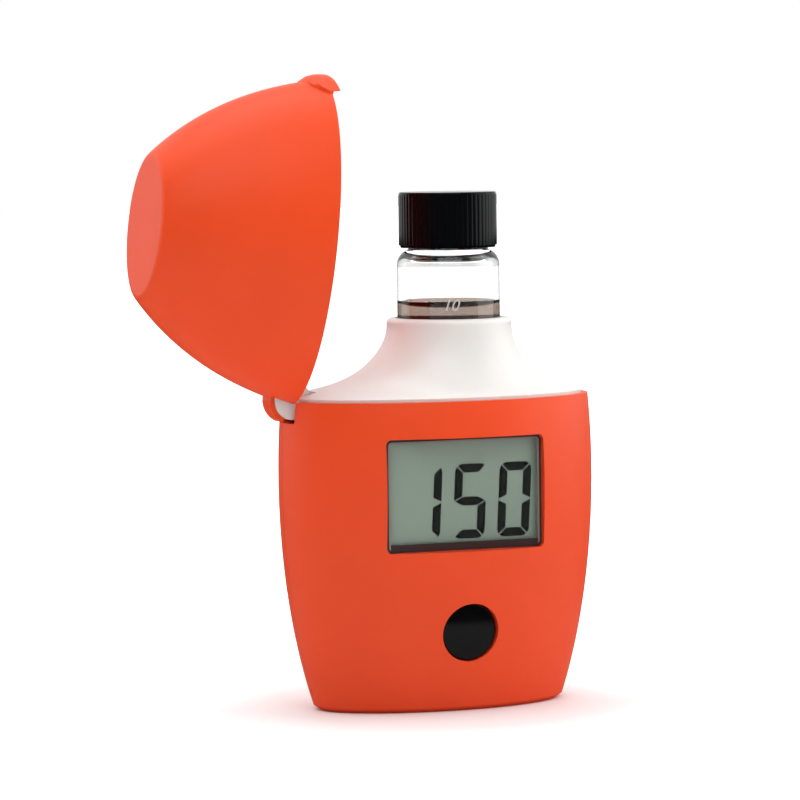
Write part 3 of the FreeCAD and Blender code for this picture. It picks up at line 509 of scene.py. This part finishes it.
def curved_lip():
    """Thumb lip that follows the rim's curved end and thins out towards its own ends."""
    points, faces = [], []
    count = len(LIP_SECTION)
    for i in range(LIP_STATIONS + 1):
        y = LIP_HALF_DEEP * (2 * i / LIP_STATIONS - 1)
        drop = RIM_HALF_LONG * (1 - math.sqrt(1 - (y / RIM_HALF_DEEP) ** 2))
        taper = abs(y / LIP_HALF_DEEP) ** 3
        for x, z in LIP_SECTION:
            lower = LIP_LOWERING * taper * max(0.0, z - LIP_SHOULDER)
            inward = max(x, LIP_OUTSIDE + LIP_THINNING * taper)
            points.append((mm(inward), mm(y), mm(z - drop - lower)))
    for i in range(LIP_STATIONS):
        start, after = i * count, (i + 1) * count
        for j in range(count):
            k = (j + 1) % count
            faces.append((start + j, start + k, after + k, after + j))
    faces.append(tuple(range(count)))
    faces.append(tuple(range(len(points) - 1, len(points) - 1 - count, -1)))
    return add_mesh("lid_lip", points, faces, "lid_orange", "lid_body")


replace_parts(lid_without_tab(), "lid")
creased(curved_lip(), 40)


# ------------------------------------------------------------------ display

CELL_FRONT, CELL_BACK = -13.2, -11.8
CELL_LEFT, CELL_RIGHT, CELL_LOW, CELL_HIGH = -16.4, 15.1, 28.4, 50.1
face = slab("display_face", box_outline(CELL_LEFT, CELL_RIGHT, CELL_LOW, CELL_HIGH),
            CELL_FRONT, CELL_BACK, "lcd_grey", "housing")
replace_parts(face, "display_cell", "display_frame")

DIGIT_PITCH, DIGIT_WIDE, DIGIT_TALL = 8.57, 6.15, 13.3
LAST_DIGIT_X, DIGIT_Z = 9.5, 37.75
STROKE, GAP, MITRE = 1.56, 0.11, 0.72
SLANT, INK = 0.055, 0.05


def segment_outlines():
    """The seven strokes of one digit about its own middle, as outlines of (x, z)."""
    w, t, s, g = DIGIT_WIDE / 2, DIGIT_TALL / 2, STROKE, GAP
    cut = s * MITRE
    # the corners are blunt: short, middling and shallow steps along the mitre
    short, middling, shallow = cut * 0.3, cut * 0.45, cut * 0.2
    side = [(w, t - cut - g), (w, g), (w - s, s / 2 + g), (w - s, t - s - g),
            (w - short, t - middling)]
    top = [(-w + cut, t), (w - cut, t), (w - middling, t - shallow - g), (w - s - g, t - s),
           (-w + s + g, t - s), (-w + middling, t - shallow - g)]
    middle = [(-w + g * 2, 0), (-w + s + g, s / 2), (w - s - g, s / 2), (w - g * 2, 0),
              (w - s - g, -s / 2), (-w + s + g, -s / 2)]
    return {
        "a": top,
        "b": side,
        "c": [(x, -z) for x, z in side],
        "d": [(x, -z) for x, z in top],
        "e": [(-x, -z) for x, z in side],
        "f": [(-x, z) for x, z in side],
        "g": middle,
    }


def digit(name, strokes, centre_x):
    """The named strokes of a digit, slanted a little to the right."""
    shapes = segment_outlines()
    for stroke in strokes:
        outline = [(centre_x + x + z * SLANT, DIGIT_Z + z) for x, z in shapes[stroke]]
        slab(f"{name}_{stroke}", outline, CELL_FRONT - INK, CELL_FRONT - 0.001, "lcd_ink",
             "housing")


digit("digit_ones", "abcdef", LAST_DIGIT_X)
digit("digit_tens", "acdfg", LAST_DIGIT_X - DIGIT_PITCH)
digit("digit_hundreds", "bc", LAST_DIGIT_X - DIGIT_PITCH * 2)


def ring(name, outer, inner, front, back, material, body):
    """A flat frame between two outlines with the same number of points."""
    count = len(outer)
    rows = [(outer, back), (outer, front), (inner, front), (inner, back)]
    points = [(mm(x), mm(y), mm(z)) for outline, y in rows for x, z in outline]
    faces = [
        (row * count + i, row * count + (i + 1) % count,
         ((row + 1) % 4) * count + (i + 1) % count, ((row + 1) % 4) * count + i)
        for row in range(4) for i in range(count)
    ]
    return add_mesh(name, points, faces, material, body, smooth=False)


WINDOW_X, WINDOW_Z = -0.7, 39.25
WINDOW_HALF_WIDE, WINDOW_HALF_TALL, WINDOW_CORNER = 14.95, 10.1, 1.1
WINDOW_FACE, TRIM_SINK = 14.9, 0.02
TRIM_INSET, DARK_LINE, GLINT_LINE = 0.16, 0.35, 0.3
DARK_PROUD, GLINT_PROUD, BAND_PROUD = 0.1, 0.06, 0.08
BAND_LOW, BAND_TALL = WINDOW_Z - WINDOW_HALF_TALL + DARK_LINE, 1.15
BAND_HALF = WINDOW_HALF_WIDE - DARK_LINE - GLINT_LINE - 0.2


def window_outline(inset):
    """The window's round-cornered outline, drawn in by a length, from the lower right."""
    radius = WINDOW_CORNER - inset
    half_wide, half_tall = WINDOW_HALF_WIDE - inset, WINDOW_HALF_TALL - inset
    points = []
    for sx, sz, start in ((1, -1, -90), (1, 1, 0), (-1, 1, 90), (-1, -1, 180)):
        corner = arc(sx * (half_wide - radius), sz * (half_tall - radius), radius, start,
                     start + 90, 6)
        points += [(WINDOW_X + x, WINDOW_Z + z) for x, z in corner]
    return points


ring("window_rim", window_outline(TRIM_INSET), window_outline(TRIM_INSET + DARK_LINE),
     -WINDOW_FACE - DARK_PROUD, -WINDOW_FACE + TRIM_SINK, "frame_dark", "housing")
# the window_glint ring is a painted highlight: a pale line in place of the light that the window's
# bevelled edge catches
ring("window_glint", window_outline(TRIM_INSET + DARK_LINE),
     window_outline(TRIM_INSET + DARK_LINE + GLINT_LINE),
     -WINDOW_FACE - GLINT_PROUD, -WINDOW_FACE + TRIM_SINK, "window_edge", "housing")
slab("window_band",
     box_outline(WINDOW_X - BAND_HALF, WINDOW_X + BAND_HALF, BAND_LOW, BAND_LOW + BAND_TALL),
     -WINDOW_FACE - BAND_PROUD, -WINDOW_FACE + TRIM_SINK, "frame_dark", "housing")


# ------------------------------------------------------------------- button

BUTTON_TILT, BUTTON_FACE, BUTTON_Z, BUTTON_RADIUS = 5.0, 15.3, 14.5, 5.11
BUTTON_CROWN, BUTTON_EDGE, BUTTON_STEM = 0.4, 0.3, 2.5
FLANGE_RADIUS, FLANGE_THICK = 5.7, 0.6
CROWN_STEPS = 12
button_place = (
    Matrix.Translation((0, mm(-BUTTON_FACE), mm(BUTTON_Z)))
    @ Matrix.Rotation(math.radians(90 + BUTTON_TILT), 4, "X")
)
crown_radius, crown_foot = BUTTON_RADIUS - BUTTON_EDGE, -BUTTON_CROWN - BUTTON_EDGE
crown = [
    (crown_radius * i / CROWN_STEPS, -BUTTON_CROWN * (i / CROWN_STEPS) ** 2)
    for i in range(CROWN_STEPS, -1, -1)
]
button_profile = (
    [(0, -BUTTON_STEM), (FLANGE_RADIUS, -BUTTON_STEM),
     (FLANGE_RADIUS, -BUTTON_STEM + FLANGE_THICK), (BUTTON_RADIUS, -BUTTON_STEM + FLANGE_THICK),
     (BUTTON_RADIUS, crown_foot)]
    + arc(crown_radius, crown_foot, BUTTON_EDGE, 15, 75, 4)
    + crown
)
button = lathe("button_domed", button_profile, 0, "button_black", "button", place=button_place)
creased(button, 40)
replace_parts(button, "button_cap")


# -------------------------------------------------------------------- stage

def look_matrix(origin, yaw, pitch, roll):
    """Camera matrix from degrees: yaw from +Y towards +X, pitch down, roll clockwise."""
    yaw, pitch, roll = (math.radians(v) for v in (yaw, pitch, roll))
    level = math.cos(pitch)
    forward = Vector((math.sin(yaw) * level, math.cos(yaw) * level, -math.sin(pitch)))
    right = Vector((math.cos(yaw), -math.sin(yaw), 0))
    up = right.cross(forward)
    side = right * math.cos(roll) + up * math.sin(roll)
    top = up * math.cos(roll) - right * math.sin(roll)
    turn = Matrix((side, top, -forward)).transposed()
    return Matrix.Translation(origin) @ turn.to_4x4()


CAMERA_AZIMUTH, CAMERA_DISTANCE, CAMERA_HEIGHT = 22.01, 733.15, 105.4
CAMERA_YAW, CAMERA_PITCH, CAMERA_ROLL = 21.51, 3.93, -0.67
CAMERA_SENSOR, CAMERA_LENS = 36.0, 183.15
camera = bpy.data.objects.new("camera", bpy.data.cameras.new("camera"))
bpy.context.scene.collection.objects.link(camera)
bpy.context.scene.camera = camera
azimuth = math.radians(CAMERA_AZIMUTH)
eye = Vector((
    mm(-CAMERA_DISTANCE * math.sin(azimuth)),
    mm(-CAMERA_DISTANCE * math.cos(azimuth)),
    mm(CAMERA_HEIGHT),
))
camera.matrix_world = look_matrix(eye, CAMERA_YAW, CAMERA_PITCH, CAMERA_ROLL)
camera.data.sensor_width = CAMERA_SENSOR
camera.data.lens = CAMERA_LENS

CENTRE = Vector((0.0, 0.0, 0.055))


def on_bearing(bearing, distance, height):
    """A place at a bearing from the camera's own direction, clockwise seen from above."""
    turn = math.radians(180 + CAMERA_AZIMUTH + bearing)
    return (distance * math.sin(turn), distance * math.cos(turn), height)


def soft_box(name, place, wide, tall, power):
    """A rectangular area lamp that faces the middle of the instrument."""
    data = bpy.data.lights.new(name, "AREA")
    data.shape = "RECTANGLE"
    data.size, data.size_y = wide, tall
    data.energy = power
    lamp = bpy.data.objects.new(name, data)
    bpy.context.scene.collection.objects.link(lamp)
    lamp.location = place
    lamp.rotation_euler = (CENTRE - Vector(place)).to_track_quat("-Z", "Y").to_euler()


soft_box("key", on_bearing(105, 0.75, 0.4), wide=0.9, tall=0.9, power=1.35)
soft_box("fill", on_bearing(-95, 0.8, 0.4), wide=0.9, tall=0.9, power=3.0)
soft_box("top", (-0.05, 0.05, 0.9), wide=0.7, tall=0.7, power=3.3)
soft_box("front", on_bearing(-5, 0.75, 0.8), wide=0.9, tall=0.6, power=4.4)


def seen_or_through(tree, paths):
    """1 for rays from the camera and rays through glass, 0 for all others."""
    return compared(tree, paths.outputs["Is Camera Ray"], paths.outputs["Is Transmission Ray"],
                    "MAXIMUM")


# The world is white to the camera and through glass. As a light it is white behind the
# instrument and dark in front, so that black parts mirror a dark room.
WHITE = (1, 1, 1, 1)
WHITE_BEHIND, DARK_BEFORE = 0.85, 0.03
DARKENS_FROM, DARK_FROM = -0.2, 0.75
world = bpy.data.worlds.new("studio")
bpy.context.scene.world = world
world.use_nodes = True
tree = world.node_tree
place = new_node(tree, "ShaderNodeTexCoord")
before = new_node(tree, "ShaderNodeVectorMath", operation="DOT_PRODUCT")
before.inputs[1].default_value = tuple(Vector((eye.x, eye.y, 0)).normalized())
tree.links.new(place.outputs["Generated"], before.inputs[0])
strength = ranged(tree, before.outputs["Value"], DARKENS_FROM, DARK_FROM, WHITE_BEHIND,
                  DARK_BEFORE, "SMOOTHSTEP")
room = tree.nodes["Background"]
room.inputs["Color"].default_value = WHITE
tree.links.new(strength, room.inputs["Strength"])
seen = new_node(tree, "ShaderNodeBackground", {"Color": WHITE, "Strength": 1.0})
paths = new_node(tree, "ShaderNodeLightPath")
surface = mixed(tree, seen_or_through(tree, paths), room.outputs["Background"],
                seen.outputs["Background"])
tree.links.new(surface, tree.nodes["World Output"].inputs["Surface"])

# The floor is pale paper. It glows to white away from the instrument, for the camera and
# through glass only, and keeps the shadow near it. In reflections it darkens with distance.
FLOOR_HALF = 4
NEAR, FAR, NEAR_GLOW, FAR_GLOW = 0.03, 0.13, 0.03, 0.95
MIRROR_FADES, MIRROR_ENDS, MIRRORED_NEAR, MIRRORED_FAR = 0.085, 0.12, 0.2, 0.01
floor_data = bpy.data.meshes.new("floor")
corners = [(-1, -1), (1, -1), (1, 1), (-1, 1)]
floor_data.from_pydata([(FLOOR_HALF * x, FLOOR_HALF * y, 0) for x, y in corners], [],
                       [(0, 1, 2, 3)])
floor = bpy.data.objects.new("floor", floor_data)
bpy.context.scene.collection.objects.link(floor)
paper, tree, shader = new_material("paper")
shader.inputs["Base Color"].default_value = (0.9, 0.9, 0.9, 1)
shader.inputs["Roughness"].default_value = 0.6
shader.inputs["Specular IOR Level"].default_value = 0.2
spot = new_node(tree, "ShaderNodeTexCoord")
away = new_node(tree, "ShaderNodeVectorMath", operation="LENGTH")
tree.links.new(spot.outputs["Object"], away.inputs[0])
distance = away.outputs["Value"]
paths = new_node(tree, "ShaderNodeLightPath")

glow = new_node(tree, "ShaderNodeEmission")
tree.links.new(ranged(tree, distance, NEAR, FAR, NEAR_GLOW, FAR_GLOW), glow.inputs["Strength"])
unlit = new_node(tree, "ShaderNodeEmission", {"Strength": 0.0})
glowing = mixed(tree, seen_or_through(tree, paths), unlit.outputs["Emission"],
                glow.outputs["Emission"])
lit = new_node(tree, "ShaderNodeAddShader")
tree.links.new(shader.outputs["BSDF"], lit.inputs[0])
tree.links.new(glowing, lit.inputs[1])

dim = new_node(tree, "ShaderNodeBsdfDiffuse")
tree.links.new(ranged(tree, distance, MIRROR_FADES, MIRROR_ENDS, MIRRORED_NEAR, MIRRORED_FAR),
               dim.inputs["Color"])
# a ray through glass counts as glossy too, so it is taken off
reflected = compared(tree, paths.outputs["Is Glossy Ray"], paths.outputs["Is Transmission Ray"],
                     "SUBTRACT")
surface = mixed(tree, reflected, lit.outputs["Shader"], dim.outputs["BSDF"])
tree.links.new(surface, tree.nodes["Material Output"].inputs["Surface"])
floor_data.materials.append(paper)

bpy.context.scene.view_settings.view_transform = "Standard"
